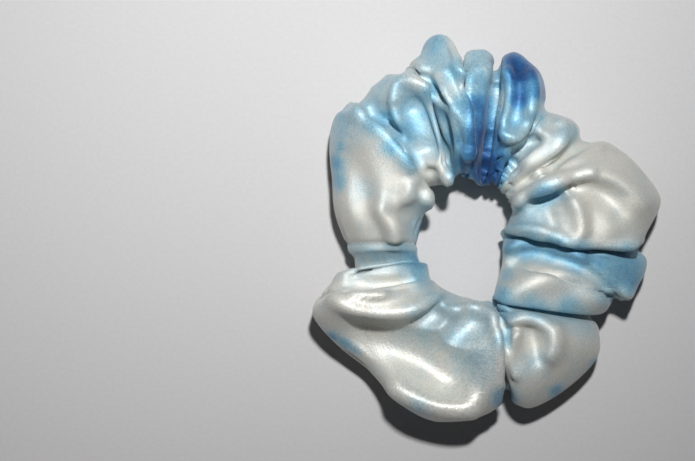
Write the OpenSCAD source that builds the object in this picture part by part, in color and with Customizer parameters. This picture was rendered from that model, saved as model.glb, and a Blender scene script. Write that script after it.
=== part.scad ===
// Satin hair scrunchie: a gathered cloth tube over a closed elastic loop.
// The cloth cover is shown as the full envelope of its folds, in two halves that
// move apart as the loop is stretched open. Millimetres. +Z is up off the table,
// +Y is the long way of the ring, and the closing seam is on the -X arm.

/* [Loop] */
// width of the elastic loop, outside to outside
loop_w = 42; // [30:1:60]
// straight run that makes the loop longer than it is wide
loop_straight = 12; // [0:1:30]
// middle of the loop from the middle of the ring, left and right
loop_x = -8; // [-15:0.5:15]
// middle of the loop from the middle of the ring, along its length
loop_y = -1.5; // [-15:0.5:15]
// height of the middle of the elastic above the table
loop_z = 12; // [8:0.5:18]

/* [Elastic band] */
// width of the flat braided elastic
band_w = 6; // [3:0.5:10]
// thickness of the elastic
band_t = 1; // [0.6:0.1:2]
// length of the sewn overlap of its two ends
overlap_len = 10; // [6:1:16]
// zigzag stitches across the overlap
zigzags = 8; // [4:1:14]

/* [Cover] */
// middle of the opening, left and right
eye_x = -7; // [-15:0.5:15]
// middle of the opening, along the ring
eye_y = -2; // [-15:0.5:15]
// place of the closing seam, and of the split between the halves
seam_y = -2.5; // [-10:0.5:10]
// gap between the two halves
half_gap = 0.4; // [0.2:0.1:1]
// height of the tallest fold
fold_top = 32; // [24:1:40]
// how far the folds are pressed flat where they lie on the table
press = 1.5; // [0.5:0.5:4]
// steps around the ring
ring_steps = 144; // [72:12:240]
// steps around one section of the tube
tube_steps = 28; // [16:4:48]

/* [Thread] */
// diameter of the sewing thread
thread_d = 0.4; // [0.2:0.1:0.8]
// stitches that close the ends of the tube
closing_stitches = 16; // [8:1:24]

/* [Hidden] */
// Crests and creases of the folds, clockwise seen from below: angle about the
// opening, reach of the inner edge, reach of the outer edge, height of the top.
folds = [
    [14, 11.5, 59.5, 31],
    [40, 17, 47.5, 24],
    [58, 20.5, 46.5, 22],
    [75, 17.5, 57.5, 28],
    [81, 17.5, 54, 25],
    [99, 18, 60.5, fold_top],
    [111, 17, 52, 25],
    [139, 16, 54, 28],
    [168, 15, 37, 24],
    [186, 13.5, 33, 19],
    [207, 12.5, 49, 30],
    [232, 13.5, 45, 28],
    [266, 15.5, 55.5, 31],
    [286, 19, 43.5, 22],
    [306, 16.5, 53.5, 29],
    [332, 12.5, 41, 22],
    [350, 11.5, 52.5, 26],
    [358, 11, 48, 23]
];
seam_angle = 184.5;
channel_side = 1;
loop_r = loop_w / 2;
channel_z = loop_z - band_w / 2 - channel_side;
big = 200;
eps = 0.01;

// Crest or crease that comes at or before an angle.
function fold_before(a) = len([for (f = folds) if (f[0] <= a) f]) - 1;
// The next one round, with its angle past 360 where it wraps.
function fold_after(i) = i + 1 < len(folds) ? folds[i + 1] : folds[0] + [360, 0, 0, 0];
function wrap(a) = a < folds[0][0] ? a + 360 : a;
function ease(t) = (1 - cos(180 * t)) / 2;
function between(p, q, t) = p + (q - p) * t;
// [angle, inner reach, outer reach, top] at any angle.
function profile(a, i) = between(folds[i], fold_after(i),
    ease((a - folds[i][0]) / (fold_after(i)[0] - folds[i][0])));
function fold_at(a) = profile(wrap(a), fold_before(wrap(a)));
function full(v, power) = sign(v) * pow(abs(v), power);

// A point of the cover's outer surface: angle about the opening, angle round the tube.
function skin_point(a, round, f) =
    let (
        low = (fold_top - f[3]) / 4 - press,
        reach = (f[1] + f[2]) / 2 + (f[2] - f[1]) / 2 * full(cos(round), 0.75),
        z = (f[3] + low) / 2 + (f[3] - low) / 2 * full(sin(round), 0.85)
    )
    [eye_x + reach * cos(a), eye_y + reach * sin(a), z];
function skin(a, round) = skin_point(a, round, fold_at(a));

// The envelope of all the folds, as one closed ring of sections.
module fold_envelope() {
    points = [
        for (i = [0 : ring_steps - 1], j = [0 : tube_steps - 1])
            skin(i * 360 / ring_steps, j * 360 / tube_steps)
    ];
    faces = [
        for (i = [0 : ring_steps - 1], j = [0 : tube_steps - 1])
            let (
                i2 = (i + 1) % ring_steps,
                j2 = (j + 1) % tube_steps,
                a = i * tube_steps + j,
                b = i * tube_steps + j2,
                c = i2 * tube_steps + j2,
                d = i2 * tube_steps + j
            )
            each [[a, b, c], [a, c, d]]
    ];
    polyhedron(points, faces, convexity = 6);
}

// The loop's plan: two half rounds joined by straight runs.
module loop_plan(r) {
    for (side = [-1, 1])
        translate([0, side * loop_straight / 2])
            circle(r, $fn = 96);
    square([2 * r, loop_straight], center = true);
}

// A band on the loop's line, from z to z + h, reaching from radius r1 to r2.
module loop_ring(r1, r2, z, h) {
    translate([loop_x, loop_y, z])
        linear_extrude(h)
            difference() {
                loop_plan(r2);
                loop_plan(r1);
            }
}

// The inside of the tube, where the elastic runs.
module elastic_channel() {
    loop_ring(loop_r - band_t - channel_side, loop_r + band_t + channel_side,
        channel_z, band_w + 2 * channel_side);
}

// One half of the cover: from_y to to_y of the envelope, resting on the table.
module cover_half(from_y, to_y) {
    difference() {
        intersection() {
            fold_envelope();
            translate([-big / 2, from_y, 0])
                cube([big, to_y - from_y, big]);
        }
        elastic_channel();
    }
}

module cover_lower_half() {
    color([0.80, 0.86, 0.90])
        cover_half(-big / 2, seam_y - half_gap / 2);
}

module cover_upper_half() {
    color([0.55, 0.74, 0.90])
        cover_half(seam_y + half_gap / 2, big / 2);
}

// The elastic: one closed loop, with its two ends lapped on the -X arm.
module elastic_band() {
    color([0.95, 0.95, 0.93]) {
        loop_ring(loop_r - band_t, loop_r, loop_z - band_w / 2, band_w);
        translate([loop_x - loop_r - band_t, seam_y - overlap_len / 2, loop_z - band_w / 2])
            cube([band_t + eps, overlap_len, band_w]);
    }
}

// Zigzag of thread over the lapped ends of the elastic.
module elastic_join_stitches() {
    pitch = (overlap_len - 2) / zigzags;
    rise = band_w - 2;
    color([0.98, 0.98, 0.98])
        for (i = [0 : zigzags - 1])
            translate([
                loop_x - loop_r - band_t - thread_d / 2,
                seam_y - overlap_len / 2 + 1 + (i + 0.5) * pitch,
                loop_z
            ])
                rotate([(i % 2 == 0 ? 1 : -1) * atan2(pitch, rise), 0, 0])
                    cube([thread_d, thread_d, rise], center = true);
}

// The lengthwise seam of the cover, inside the tube, under the elastic.
module side_seam_stitches() {
    color([0.85, 0.90, 0.95])
        loop_ring(loop_r - band_t / 2 - thread_d, loop_r - band_t / 2, channel_z, thread_d);
}

// Short stitches round the -X arm that close the two ends of the tube.
module closing_seam_stitches() {
    color([0.90, 0.94, 0.97])
        for (i = [0 : closing_stitches - 1])
            translate(skin(seam_angle, (i + 0.5) * 360 / closing_stitches))
                rotate([90, 0, 0])
                    cylinder(d = thread_d, h = 1.2, center = true, $fn = 24);
}

cover_lower_half();
cover_upper_half();
elastic_band();
elastic_join_stitches();
side_seam_stitches();
closing_seam_stitches();
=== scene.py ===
"""Satin tie-dyed scrunchie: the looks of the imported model, in metres, in its frame."""

import itertools
import math

import bpy
import numpy as np
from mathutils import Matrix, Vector


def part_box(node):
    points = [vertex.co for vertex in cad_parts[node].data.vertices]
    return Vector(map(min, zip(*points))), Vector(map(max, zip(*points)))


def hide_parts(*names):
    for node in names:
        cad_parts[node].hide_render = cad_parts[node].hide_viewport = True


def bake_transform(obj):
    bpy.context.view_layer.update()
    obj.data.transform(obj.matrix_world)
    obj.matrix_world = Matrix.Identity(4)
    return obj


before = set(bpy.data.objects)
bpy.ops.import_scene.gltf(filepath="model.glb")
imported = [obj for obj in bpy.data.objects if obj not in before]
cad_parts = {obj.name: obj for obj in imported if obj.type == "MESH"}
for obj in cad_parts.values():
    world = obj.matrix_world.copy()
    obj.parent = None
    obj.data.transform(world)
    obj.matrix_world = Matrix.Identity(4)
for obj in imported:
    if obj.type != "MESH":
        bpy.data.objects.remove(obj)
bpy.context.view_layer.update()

MM = 0.001
TINY = 1e-9  # added to a length that is divided by, in case it is 0

# ---------------------------------------------------------------- the view

VIEW_CENTRE = (-41.0, 1.5)  # mm, the point under the camera
VIEW_HEIGHT = 315.0  # mm above the table
FOLD_LEVEL = 15.0  # mm, the height at which the view is measured
VIEW_WIDTH = 202.6  # mm at that height
SENSOR = 36.0  # mm
NEAREST = 0.01  # m, nothing closer to the camera is shown


def make_camera():
    """A camera that looks straight down."""
    data = bpy.data.cameras.new("camera")
    data.sensor_width = SENSOR
    data.lens = SENSOR * (VIEW_HEIGHT - FOLD_LEVEL) / VIEW_WIDTH
    data.clip_start = NEAREST
    camera = bpy.data.objects.new("camera", data)
    camera.location = (VIEW_CENTRE[0] * MM, VIEW_CENTRE[1] * MM, VIEW_HEIGHT * MM)
    bpy.context.collection.objects.link(camera)
    bpy.context.scene.camera = camera


make_camera()

# ---------------------------------------------------------------- the elastic's place

BAND_LOW, BAND_HIGH = (np.array(corner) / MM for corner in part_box("elastic_band"))
BAND_T = 1.0  # mm thick
BAND_RIBS = 6
RIB_DEPTH = 0.12  # mm
LAP = 10.0  # mm, where the band's ends are sewn over each other
BAND_MIDDLE = (BAND_LOW + BAND_HIGH) / 2
BAND_W = BAND_HIGH[2] - BAND_LOW[2]
BAND_RADIUS = (BAND_HIGH[0] - BAND_LOW[0] - BAND_T) / 2
BAND_STRAIGHT = BAND_HIGH[1] - BAND_LOW[1] - 2 * BAND_RADIUS
BAND_CENTRE = np.array([BAND_HIGH[0] - BAND_RADIUS, BAND_MIDDLE[1]])
BAND_CLEAR = 1.3  # mm kept between the band and the cloth over and under it
BAND_FALL = 1.8  # how steeply the cloth may fall away beside the band
BAND_REACH = 3.5  # mm to each side of the band in which it holds the cloth off
BAND_EDGE = 0.1  # cloth this close to the tube's inner or outer edge isn't held off; its top is 1
SEAM_Y = -2.5  # mm, the closing seam's place on the left arm

# ---------------------------------------------------------------- the folds

# The ring of folds as seen from above, going counterclockwise. Each is a crest or a crease that runs
# from the opening to the outside: inner x, y, outer x, y, top, underside, and how far its top leans
# towards the next one. Millimetres.
FOLDS = [
    (4.5, 1.0, 43.0, -4.0, 18, 4, 0),  # crease over the blue band
    (5.0, 4.0, 45.0, 1.5, 27, 2, -6),  # wide right lobe
    (7.0, 7.5, 51.5, 11.0, 27, 0, -2),
    (6.5, 9.5, 43.5, 21.0, 29, 0, 0),
    (5.8, 11.0, 34.0, 27.5, 25, 1, 0),
    (5.0, 12.5, 27.5, 27.0, 20, 3, 0),
    (4.2, 14.0, 25.5, 33.0, 26, 1, 0),  # pale folds
    (3.2, 15.2, 16.5, 36.0, 20, 4, 0),
    (2.0, 15.8, 15.5, 48.0, 28, 1, 0),  # deep blue lobe
    (0.2, 15.6, 7.0, 54.0, 27, 1, 0),
    (-1.3, 15.3, 2.5, 48.0, 18, 4, 0),
    (-3.0, 15.3, 0.0, 53.0, 28, 1, 1),  # strap
    (-5.5, 17.0, -5.0, 53.0, 27, 1, 0),
    (-7.0, 18.0, -9.0, 49.0, 18, 4, 0),
    (-8.5, 18.0, -16.0, 59.0, 32, 0, -6),  # tall top lobe
    (-11.0, 17.5, -23.0, 46.0, 18, 4, 0),
    (-13.0, 14.5, -22.0, 46.0, 30, 1, -4),  # arch
    (-17.5, 14.5, -29.0, 47.0, 25, 1, 0),
    (-19.0, 12.0, -37.0, 39.0, 18, 4, 0),
    (-17.8, 8.0, -46.0, 34.0, 29, 0, -7),  # upper left lobe
    (-19.5, 4.5, -45.0, 16.0, 27, 0, 0),
    (-21.5, 0.0, -41.5, 0.0, 23, 1, 0),
    (-21.0, -3.0, -41.0, -3.0, 21, 2, 0),  # waist, by the closing seam
    (-20.5, -6.0, -39.5, -7.0, 20, 3, 0),
    (-20.0, -8.0, -38.5, -10.5, 18, 4, 0),
    (-17.5, -9.5, -44.0, -14.0, 25, 2, -5),
    (-17.0, -12.5, -48.0, -17.0, 22, 2, 0),
    (-15.0, -14.5, -51.0, -24.0, 30, 0, -3),  # big pillow, three crests
    (-11.0, -16.5, -35.0, -38.0, 27, 0, 0),
    (-6.0, -18.0, -15.0, -55.0, 29, 0, 0),
    (-1.5, -19.5, -1.0, -51.5, 30, 0, 5),
    (0.8, -21.5, 4.5, -45.0, 18, 4, 0),
    (2.2, -21.5, 12.0, -51.0, 27, 1, -1),  # lower right lobe
    (2.6, -20.5, 33.0, -35.0, 28, 1, 0),
    (2.2, -19.5, 29.0, -20.5, 18, 4, 0),
    (2.2, -17.0, 34.0, -20.5, 26, 1, -6),  # white band
    (3.5, -10.5, 36.0, -19.5, 27, 1, 0),
    (4.5, -7.0, 38.0, -18.5, 23, 3, 0),
    (4.8, -5.0, 42.0, -17.5, 24, 2, -4),  # blue band
    (4.5, -2.0, 46.5, -8.0, 24, 2, -1),
]
EYE = np.array([-7.0, -2.0])  # mm, middle of the opening
FOLD_STEPS = 60  # steps from one fold line to the next before the cloth is shared out
OUTER_SHARE = 0.65  # how far out the line lies along which the cloth is shared out
INNER_SHARE = 0.1  # how much the run of the inner ends counts beside that line
SHARP_TOP = 1.8  # how steeply a crest rises from its crease
SHARP_PLAN = 1.2  # how sharply the outline is notched at a crease
LOOP_STEPS = 240  # steps round a fold's section before its rows are shared out
BLUNT_SIDES = 0.8  # powers below 1 make a fold's section squarer than an ellipse
BLUNT_TOP = 0.85
LEAN_FROM = 8.0  # mm, a fold leans above this level
LEAN_RISE = 20.0  # mm above that level it leans in full
ARC_POINTS = 9
TOP_SPREAD = 0.5  # a power below 1 keeps a crease high further down the sides
GROOVE_FLOOR = 10.0  # mm, no groove goes lower
LOFT_RISE = 0.6  # share of each crease's height in the loft; the rest comes when the cloth has settled
FINE_WIDTH = 0.85  # shares of a crease's width and height with which it is pressed in again
FINE_RISE = 0.65
FACING_GAIN = 1.4  # cloth that faces up by 1 / FACING_GAIN or more takes the fine creases in full
FINE_FROM = 8.0  # mm, the fine creases begin at this level
FINE_FADE = 8.0  # mm above it they have their full height
EASE = 0.33  # share of a ripple that is taken out at a time
SEAM_DEPTH = 0.7  # mm
SEAM_WIDTH = 1.2  # columns of the finer grid

# Ridges (height above 0) and grooves on top of the folds, each one arc as seen from above: from x, y,
# to x, y, how far the arc bows to the left of that way, half width, height. Millimetres.
PILLOW = [
    (-46, -18, -15, -18, -5, 2.5, 4),
    (-15, -18, -9, -22, -1, 2, 4),
    (-9, -22, 1, -24, 2, 2, 4),
    (1, -24, 5, -43, 1, 2, 4),
    (-21, -27, -14, -21, 0, 4, -3),
    (-11, -31, -4, -25, 0, 5, -3),
    (-36, -31, -12, -41, 2, 8, -7),
    (-27, -45, -5, -51, -1, 4, 5),
]
WAIST_FOLDS = [
    (-45, -16, -30, -17, -1, 1.5, 3),
    (-38, -13, -24, -14, -1, 3, -2),
    (-39, -10, -19, -10, 1, 2, -3),
]
LEFT_LOBE = [
    (-38, 36, -17, 8, 4, 2.5, 5),
    (-34, 35, -19, 14, 4, 2.5, -5),
    (-38, 37, -30, 35, 0, 1.5, 2),
    (-22, 14, -31, 8, 2, 3, 3),
    (-31, 8, -27, 0, 1, 3, 3),
    (-27, 8, -21, 4, 1, 4, -3),
    (-41, 22, -36, 10, 1, 5, -2),
]
ARCH = [
    (-27, 39, -19, 43, 4, 2, 5),
    (-19, 43, -12, 16, 6, 2, 5),
    (-27, 39, -21, 20, -1, 2, 4),
    (-22, 37, -18, 25, 1, 4, -6),
    (-21, 18, -17, 18, 0, 2, -4),
]
TOP_LOBE = [
    (-23, 46, -19, 49, 1, 2, 4),
    (-19, 49, -6, 24, 3, 2, 5),
    (-17, 46, -11, 21, 2, 2.5, -5),
    (-13, 55, -9, 38, 0, 2.5, -4),
    (-12, 50, -6, 44, 1, 2, 3),
]
STRAP = [
    (-5, 46, -5, 24, -1, 2, 4),
    (-5, 46, 2, 46, 3, 2, 3),
    (-8, 51, 1, 52, 2, 2, 2),
    (-8, 44, -7, 27, -1, 2, -4),
    (2.5, 49, 0, 22, 1, 2, -5),
]
BLUE_LOBE = [
    (3, 46, 7, 44, 3, 2, 3),
    (7, 44, 2, 31, 2, 2, 3),
    (9, 49, 8, 34, 0, 2.5, -4),
    (12, 47, 12, 36, 1, 2.5, 3),
    (2, 31, 14, 34, -4, 2, 3),
    (1, 25, 12, 28, -2, 2, -3),
    (0, 19, 6, 20, 0, 3, -6),
]
PALE_FOLDS = [
    (15, 30, 22, 32, 3, 2, 3),
    (14, 28, 6, 16, -3, 1.5, -3),
    (22, 29, 15, 18, 1, 2.5, 3),
    (32, 26, 17, 16, -1, 2, 3),
    (29, 26, 18, 19, -1, 2, -3),
]
WIDE_LOBE = [
    (9, 10, 30, 18, 1, 2.5, 5),
    (30, 18, 45, 10, 2, 4, 3),
    (45, 10, 36, 4, -2, 5, 2),
    (26, 15, 38, 7, 2, 4, -3),
    (13, 10, 25, 14, -1, 2.5, -6),
    (21, 14, 27, 1, 2, 2.5, 3),
    (16, 11, 19, 3, 0, 2, -2),
]
BANDS = [
    (5, 2, 22, -1, 1, 2, 4),
    (22, -1, 42, -3, -2, 2, 4),
    (6, -4, 20, -4, 2, 2, 3),
    (20, -4, 40, -17, 2, 2, 4),
    (7, -7, 20, -7, 2, 2.5, -4),
    (20, -7, 37, -19, 2, 2.5, -4),
    (30, -8, 38, -14, 0, 3, -3),
    (4, -18, 20, -12, 1, 4, 3),
    (20, -12, 33, -18, 3, 4, 3),
]
LOWER_LOBE = [
    (6, -25, 19, -28, 2, 2, 3),
    (19, -28, 18, -35, 1, 3, 3),
    (12, -28, 15, -36, 0, 2.5, -2),
    (8, -29, 7, -41, -1, 2, 3),
    (4, -26, 6, -42, 1, 2.5, -3),
]
CREASES = PILLOW + WAIST_FOLDS + LEFT_LOBE + ARCH + TOP_LOBE + STRAP
CREASES += BLUE_LOBE + PALE_FOLDS + WIDE_LOBE + BANDS + LOWER_LOBE

COLS = 200  # steps along the cloth, round the ring
ROWS = 52  # steps across the cloth, round the tube
CELL = 2.0  # mm of cloth to a step
SEAM_ALLOWANCE = 5.0  # mm


def length(vectors):
    """Lengths along the last axis."""
    return np.sqrt(np.einsum("...k,...k->...", vectors, vectors))


def outward(grid):
    """Unit normals of a closed grid of points, pointing out of the tube."""
    along = np.roll(grid, -1, 0) - np.roll(grid, 1, 0)
    across = np.roll(grid, -1, 1) - np.roll(grid, 1, 1)
    normal = np.cross(across, along)
    return normal / (length(normal)[..., None] + TINY)


def arc(x0, y0, x1, y1, bow):
    """Points of an arc between two places that bows to the left."""
    t = np.linspace(0, 1, ARC_POINTS)[:, None]
    start = np.array([x0, y0], float)
    way = np.array([x1, y1]) - start
    left = np.array([-way[1], way[0]]) / math.hypot(*way)
    return start + way * t + left * bow * 4 * t * (1 - t)


def from_line(xy, points):
    """Distance of each plan point from a line through the given points."""
    best = np.full(xy.shape[:-1], np.inf)
    for a, b in zip(points[:-1], points[1:]):
        along = b - a
        t = np.clip(((xy - a) @ along) / (along @ along), 0, 1)
        best = np.minimum(best, length(xy - a - t[..., None] * along))
    return best


def fold_columns():
    """The folds at COLS places round the ring, with as much cloth between each two."""
    folds = np.array(FOLDS, float)
    place = np.arange(len(folds) * FOLD_STEPS) / FOLD_STEPS
    k = place.astype(int)
    t = place - k
    a, b = folds[k], np.roll(folds, -1, 0)[k]
    rising = b[:, 4] > a[:, 4]

    def climb(power):
        return np.where(rising, 1 - (1 - t) ** power, t**power)[:, None]

    line = a + (b - a) * climb(SHARP_TOP)
    line[:, 6] = a[:, 6] * (1 - t) + b[:, 6] * t
    for end in (0, 2):
        start = (a[:, end : end + 2] - EYE) @ (1, 1j)
        stop = (b[:, end : end + 2] - EYE) @ (1, 1j)
        reach = np.abs(start) + (np.abs(stop) - np.abs(start)) * climb(SHARP_PLAN)[:, 0]
        turned = reach * np.exp(1j * (np.angle(start) + np.angle(stop / start) * t))
        line[:, end] = EYE[0] + turned.real
        line[:, end + 1] = EYE[1] + turned.imag
    line = np.vstack([line, line[:1]])
    middle = line[:, :2] * (1 - OUTER_SHARE) + line[:, 2:4] * OUTER_SHARE
    step = np.hypot(length(np.diff(middle, axis=0)), np.diff(line[:, 4]))
    step += INNER_SHARE * length(np.diff(line[:, :2], axis=0))
    cloth = np.concatenate([[0], np.cumsum(step)])
    wanted = np.arange(COLS) / COLS * cloth[-1]
    return np.stack([np.interp(wanted, cloth, line[:, c]) for c in range(7)], 1)


def loft(columns):
    """A closed tube through the fold columns, from the inner edge over the top and back."""
    turn = np.linspace(0, 2 * np.pi, LOOP_STEPS + 1)
    reach = 0.5 - 0.5 * np.sign(np.cos(turn)) * np.abs(np.cos(turn)) ** BLUNT_SIDES
    rise = np.sign(np.sin(turn)) * np.abs(np.sin(turn)) ** BLUNT_TOP
    tube = np.zeros((COLS, ROWS, 3))
    for i, (xi, yi, xo, yo, top, low, lean) in enumerate(columns):
        loop = np.stack(
            [
                xi + (xo - xi) * reach,
                yi + (yo - yi) * reach,
                (top + low) / 2 + (top - low) / 2 * rise,
            ],
            1,
        )
        run = np.concatenate([[0], np.cumsum(length(np.diff(loop, axis=0)))])
        even = np.arange(ROWS) / ROWS * run[-1]
        tube[i] = np.stack([np.interp(even, run, loop[:, c]) for c in range(3)], 1)
        out = np.array([xi + xo, yi + yo]) / 2 - EYE
        out /= length(out)
        over = np.clip((tube[i, :, 2] - LEAN_FROM) / LEAN_RISE, 0, 1) * lean
        tube[i, :, 0] -= out[1] * over
        tube[i, :, 1] += out[0] * over
    return tube


def crease_height(plan, width_share):
    """Height of the ridges and grooves at plan places. Where some meet, the strongest counts."""
    ridge = np.zeros(plan.shape[:-1])
    groove = np.zeros(plan.shape[:-1])
    for *ends_and_bow, half_width, rise in CREASES:
        far = from_line(plan, arc(*ends_and_bow)) / (half_width * width_share)
        height = rise * np.exp(-(far**2))
        ridge = np.maximum(ridge, height)
        groove = np.minimum(groove, height)
    return ridge + groove


def sculpt(tube):
    """Adds the ridges and grooves to the top of the tube."""
    top = np.clip(np.sin(2 * np.pi * np.arange(ROWS) / ROWS), 0, 1) ** TOP_SPREAD
    level = tube[..., 2]
    lowest = np.minimum(level, GROOVE_FLOOR)
    height = LOFT_RISE * crease_height(tube[..., :2], 1) * top
    tube[..., 2] = np.maximum(level + height, lowest)
    return tube


def finer(grid):
    """The closed grid with a point put between each two, on a smooth curve through four."""
    for axis in (0, 1):
        sides = np.roll(grid, 1, axis) + np.roll(grid, -2, axis)
        between = (9 * (grid + np.roll(grid, -1, axis)) - sides) / 16
        shape = list(grid.shape)
        shape[axis] *= 2
        grid = np.stack([grid, between], axis + 1).reshape(shape)
    return grid


def eased(grid):
    """Takes ripples as short as the grid's own steps out of the cloth that faces up."""
    share = EASE * outward(grid)[..., 2:].clip(0, 1)
    for axis in (0, 1, 0, 1):
        beside = (np.roll(grid, 1, axis) + np.roll(grid, -1, axis)) / 2
        grid = grid + share * (beside - grid)
    return grid


def sharpen(grid):
    """Presses the ridges and grooves again, finer, into the upper cloth, and the closing seam."""
    normal = outward(grid)
    facing = np.clip(normal[..., 2] * FACING_GAIN, 0, 1)
    facing *= np.clip((grid[..., 2] - FINE_FROM) / FINE_FADE, 0, 1)
    height = FINE_RISE * crease_height(seen_plan(grid), FINE_WIDTH) * facing
    from_seam = np.abs(np.arange(len(grid)) - seam_column(grid))[:, None]
    height -= SEAM_DEPTH * np.exp(-((from_seam / SEAM_WIDTH) ** 2))
    grid = grid + normal * height[..., None]
    side = np.sin(2 * np.pi * np.arange(grid.shape[1]) / grid.shape[1])
    points = grid.reshape(-1, 3)
    clear_band(points, np.tile(side, len(grid)))
    return points.reshape(grid.shape)


def seam_column(grid):
    """The column of the grid that lies at the closing seam, on the left arm."""
    middle = grid.mean(1)
    off = np.abs(middle[:, 1] - SEAM_Y)
    off[middle[:, 0] > EYE[0]] = np.inf
    return int(np.argmin(off))


def seen_plan(points):
    """Where a point appears in plan, at the level of the folds, from the camera."""
    spread = (VIEW_HEIGHT - FOLD_LEVEL) / (VIEW_HEIGHT - points[..., 2:])
    return VIEW_CENTRE + (points[..., :2] - VIEW_CENTRE) * spread


def as_seen(tube):
    """The plan is as the camera sees it, so what stands high is drawn in towards its axis."""
    shrink = (VIEW_HEIGHT - tube[..., 2:]) / (VIEW_HEIGHT - FOLD_LEVEL)
    tube[..., :2] = VIEW_CENTRE + (tube[..., :2] - VIEW_CENTRE) * shrink
    return tube


# ---------------------------------------------------------------- the cloth


def links(along, across):
    """Pairs of grid points that many steps apart, in two groups that are pulled in turn."""
    i, j = np.meshgrid(np.arange(COLS), np.arange(ROWS), indexing="ij")
    a = (i * ROWS + j).ravel()
    b = ((i + along) % COLS * ROWS + (j + across) % ROWS).ravel()
    group = (i // along % 2 if along else j // across % 2).ravel()
    return [(a[group == k], b[group == k]) for k in (0, 1)]


def near_pairs(points, reach):
    """Pairs of points closer than reach that aren't neighbours in the cloth, and their steps apart
    along and across it."""
    cell = np.floor(points / reach).astype(np.int64)
    cell -= cell.min(0) - 1
    size = cell.max(0) + 2
    key = (cell[:, 0] * size[1] + cell[:, 1]) * size[2] + cell[:, 2]
    order = np.argsort(key, kind="stable")
    key = key[order]
    count = len(points)
    found = []
    for x, y, z in itertools.product((-1, 0, 1), repeat=3):
        if (x, y, z) < (0, 0, 0):
            continue
        shift = (x * size[1] + y) * size[2] + z
        first = np.searchsorted(key, key + shift, "left")
        last = np.searchsorted(key, key + shift, "right")
        if shift == 0:
            first = np.arange(count) + 1
        hits = np.maximum(last - first, 0)
        a = np.repeat(np.arange(count), hits)
        within = np.arange(len(a)) - np.repeat(np.cumsum(hits) - hits, hits)
        found.append((order[a], order[np.repeat(first, hits) + within]))
    a = np.concatenate([f[0] for f in found])
    b = np.concatenate([f[1] for f in found])
    near = length(points[a] - points[b]) < reach
    a, b = a[near], b[near]
    along = np.abs(a // ROWS - b // ROWS)
    across = np.abs(a % ROWS - b % ROWS)
    along = np.minimum(along, COLS - along)
    across = np.minimum(across, ROWS - across)
    apart = np.hypot(along, across) > NEIGHBOURS
    return a[apart], b[apart], along[apart], across[apart]


def pull(points, groups, rest, stiffness, only_push=False):
    """Moves each pair of points towards its rest distance, each point by half."""
    for a, b in groups:
        between = points[b] - points[a]
        now = length(between) + TINY
        off = (now - rest[a]) / now * (0.5 * stiffness)
        if only_push:
            off = np.minimum(off, 0)
        move = between * off[:, None]
        points[a] += move
        points[b] -= move


def clear_band(points, side):
    """Keeps the cloth's upper side over the elastic band inside it, and its lower side under it.

    The band is a thin upright wall, so the limit is a tent over it that falls away on both flanks.
    """
    across = points[:, :2] - BAND_CENTRE
    across[:, 1] -= np.clip(across[:, 1], -BAND_STRAIGHT / 2, BAND_STRAIGHT / 2)
    off = np.abs(length(across) - BAND_RADIUS + BAND_T / 2)
    fall = BAND_FALL * np.clip(off - BAND_T, 0, None)
    near = off < BAND_REACH
    upper = near & (side > BAND_EDGE)
    lower = near & (side < -BAND_EDGE)
    level = points[:, 2]
    level[upper] = np.maximum(level, BAND_HIGH[2] + BAND_CLEAR - fall)[upper]
    level[lower] = np.minimum(level, BAND_LOW[2] - BAND_CLEAR + fall)[lower]


def part(points, a, b, gap):
    """Pushes apart the pairs that are closer than their gap."""
    between = points[b] - points[a]
    now = length(between) + TINY
    hit = now < gap
    a, b = a[hit], b[hit]
    move = between[hit] * ((now - gap) / now * 0.5)[hit, None]
    count = len(points)
    shares = np.bincount(a, minlength=count) + np.bincount(b, minlength=count)
    ease = 1 / np.sqrt(np.maximum(1, shares))
    for c in range(3):
        moved = np.bincount(a, move[:, c], count) - np.bincount(b, move[:, c], count)
        points[:, c] += moved * ease


STEPS = 1000
GROW_STEPS = 600  # steps over which the cloth reaches its full length
FADE_STEPS = 800  # steps over which the pull towards the lofted folds fades
NORMAL_STEPS = 4  # steps between two updates of the cloth's normals
PAIR_STEPS = 5  # steps between two searches for cloth that nears itself
SEED = 3
START_NOISE = 0.08  # mm
THICKNESS = 1.6  # mm kept between layers
LOOK_AHEAD = 1.5  # thicknesses within which cloth is watched
NEIGHBOURS = 1.5  # grid steps, points closer than this in the cloth aren't kept apart
SLACK = 0.8  # share of the cloth between two points that is the most they are kept apart
HOLD = 0.9  # pull towards the lofted folds
HOLD_SIDE = 0.4  # share of that pull on the tube's inner and outer edge
HOLD_LOW = -0.2  # below those edges the pull falls on as far as here; the underside would be -1
HOLD_KEPT = 0.8  # share of that pull left at the end
GROW_ALONG = 0.85  # share of the way to the cloth's cut length that the folds let out
GROW_ACROSS = 0.4
VALLEY_TOP = 19.0  # mm, folds lower than this let out little cloth
VALLEY_FREE = 0.1  # share that they let out
CREST_TOP = 26.0  # mm, folds higher than this let out all of it
INNER_CUT = 0.7  # share of the gathers at the inner edge too fine for the grid
SHEAR = 0.3  # stiffness of the grid's diagonals
BEND_NEAR = 1.0  # stiffness against folding between points two steps apart
BEND_FAR = 0.5  # and four steps apart
FAR_ALONG = 3.6  # steps of cloth that stay between points four steps apart
FAR_ACROSS = 3.8
PRESSURE = 0.005  # mm a step, out of the tube
WEIGHT = 0.004  # mm a step, down
DAMPING = 0.90  # share of a step's movement that goes on in the next
FASTEST = 0.4  # mm a step
TABLE_GAP = 0.3  # mm, the cloth settles no lower than this
TABLE_GRIP = 0.5  # share of a sliding step that the table takes back


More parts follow.
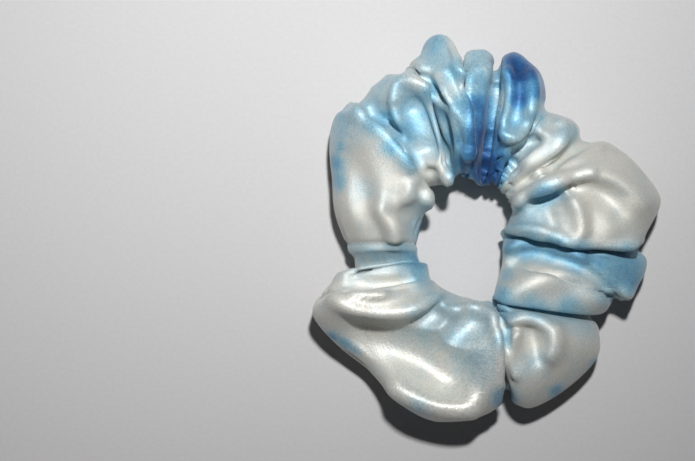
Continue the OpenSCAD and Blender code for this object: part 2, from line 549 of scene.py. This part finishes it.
def drape(target):
    """Lets cloth of the real size settle from the lofted folds, on the table, clear of itself."""
    start_along = length(np.roll(target, -1, 0) - target).ravel()
    start_across = length(np.roll(target, -1, 1) - target).ravel()
    row = np.arange(ROWS)
    # 1 on the tube's inner edge, 0 on its outer one
    inner = (1 + np.cos(2 * np.pi * row / ROWS)) / 2
    along_cut = np.tile(1 - INNER_CUT * inner**2, COLS)
    crest = ((target[..., 2].max(1) - VALLEY_TOP) / (CREST_TOP - VALLEY_TOP)).clip(0, 1)
    free = np.repeat(VALLEY_FREE + (1 - VALLEY_FREE) * crest, ROWS)
    # 1 on the top of the tube, -1 on its underside
    side = np.tile(np.sin(2 * np.pi * row / ROWS), COLS)
    hold = HOLD * (HOLD_SIDE + (1 - HOLD_SIDE) * side.clip(HOLD_LOW, 1))
    target = target.reshape(-1, 3)
    count = len(target)
    points = target + np.random.default_rng(SEED).normal(0, START_NOISE, (count, 3))
    before = points.copy()
    along, across = links(1, 0), links(0, 1)
    diagonals = (links(1, 1), links(1, -1))
    for step in range(STEPS):
        grown = min(1.0, step / GROW_STEPS)
        grown = grown * grown * (3 - 2 * grown)
        rest_along = start_along + (CELL * along_cut - start_along) * grown * GROW_ALONG * free
        rest_across = start_across + (CELL - start_across) * grown * GROW_ACROSS * free
        move = (points - before) * DAMPING
        move *= np.minimum(1, FASTEST / (length(move) + TINY))[:, None]
        before = points.copy()
        points = points + move
        points[:, 2] -= WEIGHT
        if step % NORMAL_STEPS == 0:
            normal = outward(points.reshape(COLS, ROWS, 3)).reshape(-1, 3)
        points += normal * PRESSURE
        fade = max(0.0, 1 - step / FADE_STEPS)
        points += (target - points) * (hold * (HOLD_KEPT + (1 - HOLD_KEPT) * fade))[:, None]
        pull(points, along, rest_along, 1.0)
        pull(points, across, rest_across, 1.0)
        for diagonal in diagonals:
            pull(points, diagonal, np.hypot(rest_along, rest_across), SHEAR)
        pull(points, links(2, 0), 2 * rest_along, BEND_NEAR, only_push=True)
        pull(points, links(0, 2), 2 * rest_across, BEND_NEAR, only_push=True)
        pull(points, links(4, 0), FAR_ALONG * rest_along, BEND_FAR, only_push=True)
        pull(points, links(0, 4), FAR_ACROSS * rest_across, BEND_FAR, only_push=True)
        if step % PAIR_STEPS == 0:
            watched = near_pairs(points, LOOK_AHEAD * THICKNESS)
            near_a, near_b, steps_along, steps_across = watched
            cloth_between = np.hypot(
                steps_along * rest_along[near_a],
                steps_across * rest_across[near_a],
            )
            gap = np.minimum(THICKNESS, SLACK * cloth_between)
        part(points, near_a, near_b, gap)
        clear_band(points, side)
        low = points[:, 2] < TABLE_GAP
        points[low, 2] = TABLE_GAP
        points[low, :2] += (before[low, :2] - points[low, :2]) * TABLE_GRIP
    return points.reshape(COLS, ROWS, 3)


# ---------------------------------------------------------------- materials


class Nodes:
    """Short calls for building a material's node tree."""

    def __init__(self, name):
        self.material = bpy.data.materials.new(name)
        self.material.use_nodes = True
        self.tree = self.material.node_tree
        self.shader = self.tree.nodes["Principled BSDF"]

    def add(self, kind, inputs=None, **settings):
        node = self.tree.nodes.new(kind)
        for name, value in settings.items():
            setattr(node, name, value)
        for name, value in (inputs or {}).items():
            self.put(node.inputs[name], value)
        return node

    def put(self, socket, value):
        if isinstance(value, bpy.types.NodeSocket):
            self.tree.links.new(value, socket)
        else:
            socket.default_value = value

    def attribute(self, name, output="Fac"):
        return self.add("ShaderNodeAttribute", attribute_name=name).outputs[output]

    def math(self, operation, a, b, clamp=False):
        inputs = {0: a, 1: b}
        node = self.add("ShaderNodeMath", inputs, operation=operation, use_clamp=clamp)
        return node.outputs[0]

    def noise(self, scale, detail, vector, rough=0.5):
        inputs = {"Scale": scale, "Detail": detail, "Roughness": rough, "Vector": vector}
        return self.add("ShaderNodeTexNoise", inputs).outputs["Fac"]

    def ramp(self, value, stops):
        node = self.add("ShaderNodeValToRGB", {"Fac": value})
        ramp = node.color_ramp
        while len(ramp.elements) < len(stops):
            ramp.elements.new(0.5)
        for element, (place, colour) in zip(ramp.elements, stops):
            element.position = place
            element.color = (*colour, 1)
        return node.outputs["Color"]

    def bump(self, height, distance, strength):
        inputs = {"Height": height, "Distance": distance, "Strength": strength}
        return self.add("ShaderNodeBump", inputs).outputs["Normal"]

    def set(self, **inputs):
        for name, value in inputs.items():
            self.put(self.shader.inputs[name.replace("_", " ")], value)
        return self.material


# Dye stops from undyed satin to the deepest blue.
DYE_COLOURS = [
    (0.00, (0.68, 0.67, 0.61)),
    (0.22, (0.46, 0.59, 0.63)),
    (0.42, (0.24, 0.47, 0.61)),
    (0.64, (0.085, 0.28, 0.50)),
    (0.85, (0.022, 0.10, 0.28)),
    (1.00, (0.008, 0.038, 0.125)),
]
DYE_WANDER = 0.34  # how far broad noise moves the dye's depth
DYE_MOTTLE = 0.20  # how far fine noise moves it
FLOAT_STRETCH = (0.8, 4.2, 1.0)  # the weave's floats are long one way and narrow the other
FLOAT_SHARE = 0.6  # share of the floats in the grain; the rest is round speckle
GRAIN_GREYS = [(0.3, (0.30,) * 3), (0.7, (0.78,) * 3)]
GRAIN_SHADE = 0.7  # how strongly the grain shades the colour
ROUGH_LEAST = 0.37
ROUGH_RANGE = 0.24


def satin():
    """Satin coloured by its dye attribute, which holds the dye's depth and, in the pocket under the
    strap, painted shade as well; the weave is laid out by its "cloth" attribute.
    """
    n = Nodes("tie_dyed_satin")
    cloth = n.attribute("cloth", "Vector")
    wander = n.noise(scale=0.16, detail=3.0, vector=cloth, rough=0.6)
    blots = n.noise(scale=0.55, detail=4.0, vector=cloth, rough=0.65)
    dye_and_shade = n.attribute("dye_and_shade")
    spread = n.math("MULTIPLY", n.math("SUBTRACT", wander, 0.5), DYE_WANDER)
    mottle = n.math("MULTIPLY", n.math("SUBTRACT", blots, 0.5), DYE_MOTTLE)
    level = n.math("ADD", n.math("ADD", dye_and_shade, spread), mottle, clamp=True)
    colour = n.ramp(level, DYE_COLOURS)
    stretch = n.add("ShaderNodeVectorMath", {0: cloth, 1: FLOAT_STRETCH}, operation="MULTIPLY")
    floats = n.noise(scale=1.6, detail=2.0, vector=stretch.outputs[0], rough=0.7)
    speckle = n.noise(scale=2.6, detail=1.0, vector=cloth, rough=0.8)
    woven = n.math("MULTIPLY", floats, FLOAT_SHARE)
    grain = n.math("ADD", woven, n.math("MULTIPLY", speckle, 1 - FLOAT_SHARE))
    shade = n.add(
        "ShaderNodeMix",
        {"Factor": GRAIN_SHADE, 6: colour, 7: n.ramp(grain, GRAIN_GREYS)},
        data_type="RGBA",
        blend_type="OVERLAY",
    )
    rough = n.math("ADD", n.math("MULTIPLY", grain, ROUGH_RANGE), ROUGH_LEAST)
    tangent = n.add("ShaderNodeTangent", direction_type="UV_MAP", uv_map="cloth_uv")
    return n.set(
        Base_Color=shade.outputs[2],
        Roughness=rough,
        Metallic=0.3,
        Anisotropic=0.45,
        Tangent=tangent.outputs[0],
        Sheen_Weight=0.12,
        Sheen_Roughness=0.4,
        Normal=n.bump(grain, distance=0.00025, strength=0.8),
    )


def thread_material():
    """Pale blue twisted thread."""
    n = Nodes("sewing_thread")
    place = n.add("ShaderNodeTexCoord").outputs["Object"]
    twist = n.noise(scale=5000.0, detail=2.0, vector=place)
    return n.set(
        Base_Color=n.ramp(twist, [(0.3, (0.62, 0.70, 0.76)), (0.7, (0.80, 0.84, 0.86))]),
        Roughness=0.55,
        Sheen_Weight=0.3,
        Normal=n.bump(twist, distance=0.00005, strength=0.6),
    )


def elastic_material():
    """Off-white braid."""
    n = Nodes("braided_elastic")
    place = n.add("ShaderNodeTexCoord").outputs["Object"]
    knit = n.noise(scale=2600.0, detail=3.0, vector=place, rough=0.7)
    return n.set(
        Base_Color=n.ramp(knit, [(0.3, (0.66, 0.66, 0.62)), (0.7, (0.86, 0.86, 0.82))]),
        Roughness=0.8,
        Sheen_Weight=0.2,
        Normal=n.bump(knit, distance=0.0001, strength=0.7),
    )


# ---------------------------------------------------------------- the cover

# Dye patches as seen from above: x, y, radius (mm), depth of colour. 0 is undyed and 1 the deepest
# blue; a little more keeps a blot deep beside paler ones. The blots in the pocket under the strap are
# partly painted shade: their navy stands for the pocket's shadow as well as for its dye.
DYE_AND_SHADE = [
    # big pillow
    (-12, -28, 7, 0.28), (-5, -36, 6, 0.32), (-20, -25, 5, 0.22), (-14, -20, 5, 0.28),
    (-30, -26, 8, 0.02), (-36, -20, 7, 0.00), (-15, -42, 9, 0.00), (-3, -24, 4, 0.30),
    (-46, -30, 1.8, 0.75), (-42, -32, 2.0, 0.55), (-39, -34, 1.5, 0.45), (-20, -50, 3, 0.34),
    # upper left lobe
    (-45, 33, 6, 0.40), (-38, 36, 5, 0.34), (-43, 26, 1.5, 0.60), (-45, 21, 2.5, 0.74),
    (-44, 16, 2.5, 0.56), (-36, 14, 3, 0.30), (-38, 28, 5, 0.14), (-34, 18, 7, 0.03),
    (-30, 5, 6, 0.02), (-20, 2, 3, 0.42), (-21, 10, 5, 0.08), (-19, 7, 3, 0.34),
    # arch
    (-33, 32, 3.5, 0.56), (-28, 26, 3, 0.60), (-25, 30, 3, 0.52), (-23, 22, 3, 0.52),
    (-29, 34, 3, 0.50), (-22, 37, 4, 0.40), (-20, 33, 4, 0.48), (-33, 42, 5, 0.30),
    (-26, 43, 5, 0.34), (-17, 28, 4, 0.30), (-15, 19, 4, 0.04), (-22, 30, 3, 0.44),
    # tall top lobe
    (-17, 57, 4, 0.56), (-16, 52, 4, 0.40), (-21, 46, 3, 0.16), (-17, 42, 3, 0.56),
    (-13, 35, 3, 0.50), (-11, 28, 3, 0.62), (-13, 42, 3, 0.26), (-9, 30, 3, 0.42),
    (-8, 20, 4, 0.70), (-10, 48, 3, 0.58),
    # strap and the arc behind it
    (-3, 52, 4, 0.42), (-5, 47, 3, 0.48), (-2, 44, 3, 0.50), (-3, 38, 4, 0.90),
    (-2, 30, 5, 1.02), (-2, 23, 5, 1.06), (-1, 18, 4, 1.10), (-8, 38, 3, 0.46),
    # deep blue lobe
    (7, 53, 4, 1.00), (14, 49, 4, 1.00), (4, 45, 3, 0.50), (12, 43, 2.5, 0.55), (9, 47, 4, 1.10),
    (9, 40, 3, 1.00), (16, 42, 3, 0.90), (4, 34, 4, 0.46), (10, 31, 4, 0.42), (14, 35, 3, 0.46),
    # the last two are the pocket under the strap: navy dye made deeper as painted shade for the pocket's
    # shadow
    (2, 26, 3, 0.62), (4, 21, 4, 0.98), (2, 17, 3, 1.00),
    # pale folds
    (19, 33, 3, 0.16), (22, 30, 3, 0.34), (26, 30, 2, 0.42), (11, 26, 4, 0.24), (17, 26, 4, 0.14),
    (9, 18, 5, 0.05), (18, 20, 5, 0.02),
    # wide right lobe
    (19, 13, 3, 0.50), (15, 12, 3, 0.56), (12, 6, 5, 0.36), (6, 3, 3, 0.40), (34, 8, 9, 0.00),
    (40, 14, 8, 0.00), (25, 7, 4, 0.02), (8, 13, 4, 0.04),
    # blue band
    (6, -3, 3, 0.58), (12, -3.5, 3.5, 0.64), (19, -4, 3.5, 0.66), (26, -6, 4, 0.66),
    (33, -8, 4, 0.62), (41, -8, 5, 0.62), (42, -14, 3, 0.60), (36, -13, 3, 0.50),
    # white band
    (13, -11, 3.5, 0.02), (21, -12, 3.5, 0.02), (18, -16, 4, 0.02), (5, -11, 2, 0.34),
    (3, -18, 3, 0.58), (30, -15, 3, 0.16), (35, -18, 3, 0.36),
    # lower right lobe
    (14, -21, 4, 0.48), (23, -21, 4, 0.48), (6, -22, 3, 0.46), (27, -26, 4, 0.28),
    (25, -32, 5, 0.04), (13, -30, 5, 0.04), (13, -38, 4, 0.22), (13, -44, 5, 0.04),
    (20, -46, 2, 0.74), (32, -38, 2, 0.76), (4, -30, 2.5, 0.40), (5, -48, 3, 0.66),
]
# The strip's other end, below the closing seam: the dye stops short at the seam.
WAIST_DYE = [
    (-36, -6, 5, 0.32), (-29, -6, 5, 0.30), (-24, -6, 4, 0.46), (-21, -8, 3, 0.60),
    (-38, -10, 3, 0.22), (-30, -14, 5, 0.03), (-40, -14, 5, 0.05), (-20, -12, 3, 0.42),
    (-17, -10, 2.5, 0.46),
]
UNDYED = 0.03  # depth of colour away from all the blots
UNDYED_WEIGHT = 0.5
BLOT_WEIGHT = 2.2  # in the middle of a blot
BLOT_FALL = 1.3  # how fast a blot fades towards its rim
FOLD_TOP = 18.0  # mm, the level above which the cloth faces up
SPOT = 3.0  # mm, a smaller blot stays on the upper side, and the others run on down the folds


def dye_and_shade_depth(points, below_seam):
    """How deep the dye is at each point of the cloth, by its place in plan (mm). In the pocket under the
    strap this depth is partly painted shade.
    """
    seen = seen_plan(points)
    under = (FOLD_TOP - points[:, 2]).clip(0)
    weight = np.full(len(points), UNDYED_WEIGHT)
    total = UNDYED * weight
    blots = [(blot, 1) for blot in DYE_AND_SHADE] + [(blot, below_seam) for blot in WAIST_DYE]
    for (x, y, radius, depth), share in blots:
        away = length(seen - (x, y))
        if radius < SPOT:
            away = np.hypot(away, under)
        near = BLOT_WEIGHT * np.exp(-BLOT_FALL * (away / radius) ** 2) * share
        total += near * depth
        weight += near
    return total / weight


def quads(columns, rows, along, across):
    """Faces of a closed grid of columns by rows points, for so many steps each way."""
    return [
        (
            i * rows + j,
            i * rows + (j + 1) % rows,
            (i + 1) % columns * rows + (j + 1) % rows,
            (i + 1) % columns * rows + j,
        )
        for i in range(along)
        for j in range(across)
    ]


def new_piece(name, points, faces):
    """A smooth object from points in millimetres."""
    mesh = bpy.data.meshes.new(name)
    mesh.from_pydata((np.array(points) * MM).tolist(), [], faces)
    mesh.polygons.foreach_set("use_smooth", np.ones(len(mesh.polygons), bool))
    piece = bpy.data.objects.new(name, mesh)
    bpy.context.collection.objects.link(piece)
    return piece


FLAP_SHARES = (1.0, 0.66, 0.33)  # where a seam allowance has points, from its cut edge to the seam
FLAP_LIFT = np.array([0, 0, 0.25])  # mm from the middle of the seam to each of its two allowances
EDGE_DROP = 0.2  # share of that by which the strip's second long edge lies below its first


def inward_way(points):
    """Unit vectors from the cloth's inner line towards the middle of the tube."""
    inward = points.mean(1) - points[:, 0]
    return inward / length(inward)[:, None]


def sewn_strip(points):
    """The strip whose long edges meet at the tube's inner line and turn in as seam allowances."""
    inner = points[:, 0]
    inward = inward_way(points)
    flaps = [inner + inward * SEAM_ALLOWANCE * share for share in FLAP_SHARES]
    strip = [flap + FLAP_LIFT for flap in flaps]
    strip += [points[:, j] for j in range(points.shape[1])]
    strip += [inner - FLAP_LIFT * EDGE_DROP]
    strip += [flap - FLAP_LIFT for flap in flaps[::-1]]
    return np.stack(strip, 1)


def cloth_places(columns, width, rows):
    """The strip laid round a drum of its own length (mm), where the noise in its looks is read."""
    i, j = np.meshgrid(np.arange(columns), np.arange(width), indexing="ij")
    around = 2 * np.pi * i / columns
    radius = COLS * CELL / (2 * np.pi)
    step = ROWS * CELL / rows
    return np.stack([radius * np.cos(around), radius * np.sin(around), j * step], -1)


def unwrap(mesh, columns, width):
    """UVs that run along the strip and across it."""
    corner = np.zeros(len(mesh.loops), np.int32)
    mesh.loops.foreach_get("vertex_index", corner)
    u, v = corner // width / columns, corner % width / width
    first = np.repeat(corner[::4] // width, 4)
    u = np.where((first == columns - 1) & (u == 0), 1.0, u)
    uv = mesh.uv_layers.new(name="cloth_uv")
    uv.data.foreach_set("uv", np.stack([u, v], 1).ravel())


def make_cover(points):
    """The sewn tube of dyed satin round the given closed grid of points."""
    columns, rows = points.shape[:2]
    strip = sewn_strip(points)
    width = strip.shape[1]
    flat = strip.reshape(-1, 3)
    cover = new_piece("satin_cover", flat, quads(columns, width, columns, width - 1))
    mesh = cover.data
    # The half ring past the seam, counterclockwise, belongs to the strip's other end.
    past_seam = (np.arange(columns) - seam_column(points)) % columns
    dye_and_shade = dye_and_shade_depth(flat, np.repeat(past_seam < columns / 2, width))
    mesh.attributes.new("dye_and_shade", "FLOAT", "POINT").data.foreach_set("value", dye_and_shade)
    cloth = cloth_places(columns, width, rows).ravel()
    mesh.attributes.new("cloth", "FLOAT_VECTOR", "POINT").data.foreach_set("vector", cloth)
    unwrap(mesh, columns, width)
    mesh.materials.append(satin())
    return cover


def drape_cover():
    """The settled cloth as a closed grid of points: columns along the strip, rows round the tube."""
    settled = drape(as_seen(sculpt(loft(fold_columns()))))
    return sharpen(finer(eased(settled)))


cover_points = drape_cover()
cover = make_cover(cover_points)

# ---------------------------------------------------------------- elastic and thread

PATH_STEP = 1.0  # mm


def loop_path(radius, straight, centre):
    """Points of the loop's plan: two half rounds joined by straight runs, from the -X arm."""
    round_run = math.pi * radius
    total = 2 * round_run + 2 * straight
    count = int(total / PATH_STEP)
    points = []
    for k in range(count):
        d = k / count * total
        side = 1
        if d > total / 2:
            d, side = d - total / 2, -1
        if d < straight / 2:
            x, y = -radius, -d
        elif d < straight / 2 + round_run:
            angle = math.pi + (d - straight / 2) / radius
            x, y = radius * math.cos(angle), -straight / 2 + radius * math.sin(angle)
        else:
            x, y = radius, -straight / 2 + (d - straight / 2 - round_run)
        points.append((centre[0] + side * x, centre[1] + side * y))
    return np.array(points)


def swept(name, path, profile, closed=True):
    """A closed profile (out, up) swept along a path of points, as one piece. Millimetres."""
    count = len(path)
    ahead = np.roll(path, -1, 0) - np.roll(path, 1, 0)
    if not closed:
        ahead[0], ahead[-1] = path[1] - path[0], path[-1] - path[-2]
    ahead = ahead[:, :2] / length(ahead[:, :2])[:, None]
    out = np.stack([ahead[:, 1], -ahead[:, 0]], 1)
    sides = len(profile)
    points = [
        (path[i, 0] + out[i, 0] * u, path[i, 1] + out[i, 1] * u, path[i, 2] + w)
        for i in range(count)
        for u, w in profile
    ]
    runs = count if closed else count - 1
    faces = quads(count, sides, runs, sides)
    if not closed:
        faces.append(tuple(range(sides)))
        faces.append(tuple((count - 1) * sides + j for j in reversed(range(sides))))
    return new_piece(name, points, faces)


def band_profile():
    """A flat braid's section: ribs along both faces, with four steps to a rib."""
    rise = np.linspace(-BAND_W / 2, BAND_W / 2, BAND_RIBS * 4 + 1)
    rib = BAND_T / 2 - RIB_DEPTH * (1 + np.cos(rise / BAND_W * BAND_RIBS * 2 * np.pi)) / 2
    outer = [(u, w) for u, w in zip(rib, rise)]
    inner = [(-u, w) for u, w in zip(rib, rise)]
    return outer + inner[::-1]


def make_elastic():
    """The band's loop, and its end that is lapped over the outside of the left arm."""
    plan = loop_path(BAND_RADIUS - BAND_T / 2, BAND_STRAIGHT, BAND_CENTRE)
    path = np.column_stack([plan, np.full(len(plan), BAND_MIDDLE[2])])
    band = swept("elastic_loop", path, band_profile())
    seam = path[np.abs(path[:, 1] - SEAM_Y) < LAP / 2]
    seam = seam[seam[:, 0] < BAND_MIDDLE[0]]
    seam = seam[np.argsort(seam[:, 1])]
    seam[:, 0] -= BAND_T
    lap = swept("elastic_lap", seam, band_profile(), closed=False)
    braid = elastic_material()
    for piece in (band, lap):
        piece.data.materials.append(braid)
    return band, lap


elastic, lap = make_elastic()

THREAD = 0.3  # mm thick
THREAD_SIDES = 6
THREAD_NODES = ("elastic_join_stitches", "side_seam_stitches", "closing_seam_stitches")
ASLANT = (0.3, 0.2, 1.0)  # a direction in which no thread runs
ZIGZAG_POINTS = 13
ZIGZAG_REACH = 2.0  # mm above and below the middle of the band
ZIGZAG_INSET = 1.0  # mm from the ends of the lap
LONG_STITCH = 4  # grid points in a stitch of the lengthwise seam
LONG_STITCH_STEP = 6  # grid points from one to the next
SHORT_STITCH = 2  # grid points in a stitch of the closing seam
SHORT_STITCH_STEP = 3  # grid points from one to the next
SUNK = 0.2  # share of its thickness that the closing seam's thread has its middle below the cloth's face


def stitches(name, runs, material):
    """Short runs of thread, each a thin tube with closed ends, as one piece."""
    turn = np.arange(THREAD_SIDES) * 2 * np.pi / THREAD_SIDES
    points, faces = [], []
    for run in runs:
        start = len(points)
        run = np.array(run)
        for k, place in enumerate(run):
            ahead = run[min(k + 1, len(run) - 1)] - run[max(k - 1, 0)]
            side = np.cross(ahead, ASLANT)
            side /= np.linalg.norm(side)
            up = np.cross(side, ahead)
            up /= np.linalg.norm(up)
            ring = np.cos(turn)[:, None] * side + np.sin(turn)[:, None] * up
            points.extend((place + THREAD / 2 * ring).tolist())
        tube = quads(len(run), THREAD_SIDES, len(run) - 1, THREAD_SIDES)
        faces += [tuple(start + corner for corner in face) for face in tube]
        last = len(points) - THREAD_SIDES
        faces.append(tuple(start + a for a in reversed(range(THREAD_SIDES))))
        faces.append(tuple(last + a for a in range(THREAD_SIDES)))
    piece = new_piece(name, points, faces)
    piece.data.materials.append(material)
    return piece


def join_zigzag():
    """One zigzag thread over the lap of the elastic."""
    reach = LAP / 2 - ZIGZAG_INSET
    y = np.linspace(SEAM_Y - reach, SEAM_Y + reach, ZIGZAG_POINTS)
    z = BAND_MIDDLE[2] + ZIGZAG_REACH * (-1.0) ** np.arange(ZIGZAG_POINTS)
    x = np.full(ZIGZAG_POINTS, BAND_LOW[0] - THREAD / 2)
    return [np.column_stack([x, y, z])]


def side_seam_runs(points):
    """Running stitches through both seam allowances, all along the inside of the tube."""
    line = points[:, 0] + inward_way(points) * SEAM_ALLOWANCE / 2
    line = line + FLAP_LIFT + np.array([0, 0, THREAD / 2])
    starts = range(0, len(line) - LONG_STITCH, LONG_STITCH_STEP)
    return [line[k : k + LONG_STITCH] for k in starts]


def closing_seam_runs(points):
    """Small stitches half sunk in the groove of the closing seam, all round the tube."""
    column = seam_column(points)
    sunk = points[column] - outward(points)[column] * THREAD * SUNK
    starts = range(0, len(sunk) - 1, SHORT_STITCH_STEP)
    return [sunk[j : j + SHORT_STITCH] for j in starts]


def make_threads(points):
    """The threads of the elastic's join, of the lengthwise seam and of the closing seam."""
    thread = thread_material()
    return (
        stitches("elastic_join_thread", join_zigzag(), thread),
        stitches("side_seam_thread", side_seam_runs(points), thread),
        stitches("closing_seam_thread", closing_seam_runs(points), thread),
    )


threads = make_threads(cover_points)

# ---------------------------------------------------------------- joining to the model

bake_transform(cover)
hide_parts("cover_lower_half", "cover_upper_half")
for piece in (elastic, lap):
    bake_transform(piece)
    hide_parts("elastic_band")
for piece, node in zip(threads, THREAD_NODES):
    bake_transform(piece)
    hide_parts(node)

# ---------------------------------------------------------------- table and light

TABLE_SIZE = 2.0  # m
SKY_COLOUR = (0.80, 0.83, 0.92, 1)
SKY_STRENGTH = 0.04


def make_table():
    """A sheet of pale paper under the ring."""
    n = Nodes("table")
    place = n.add("ShaderNodeTexCoord").outputs["Object"]
    paper = n.noise(scale=900.0, detail=3.0, vector=place)
    material = n.set(
        Base_Color=n.ramp(paper, [(0.2, (0.60, 0.59, 0.59)), (0.8, (0.64, 0.63, 0.63))]),
        Roughness=0.75,
        Normal=n.bump(paper, distance=0.0001, strength=0.2),
    )
    bpy.ops.mesh.primitive_plane_add(size=TABLE_SIZE)
    table = bpy.context.object
    table.name = "table"
    table.data.materials.append(material)


def make_light(name, place, aim, size, energy):
    """A square white lamp. Metres and watts."""
    data = bpy.data.lights.new(name, "AREA")
    data.size = size
    data.energy = energy
    light = bpy.data.objects.new(name, data)
    light.location = place
    light.rotation_euler = (Vector(aim) - Vector(place)).to_track_quat("-Z", "Y").to_euler()
    bpy.context.collection.objects.link(light)


def make_world():
    """Faint bluish light from all round."""
    world = bpy.data.worlds.new("studio")
    bpy.context.scene.world = world
    world.use_nodes = True
    background = world.node_tree.nodes["Background"]
    background.inputs["Color"].default_value = SKY_COLOUR
    background.inputs["Strength"].default_value = SKY_STRENGTH


make_table()
make_world()
make_light("flash", place=(-0.02, 0.095, 0.32), aim=(-0.14, 0.18, 0), size=0.02, energy=1.35)
bpy.context.scene.view_settings.view_transform = "Standard"
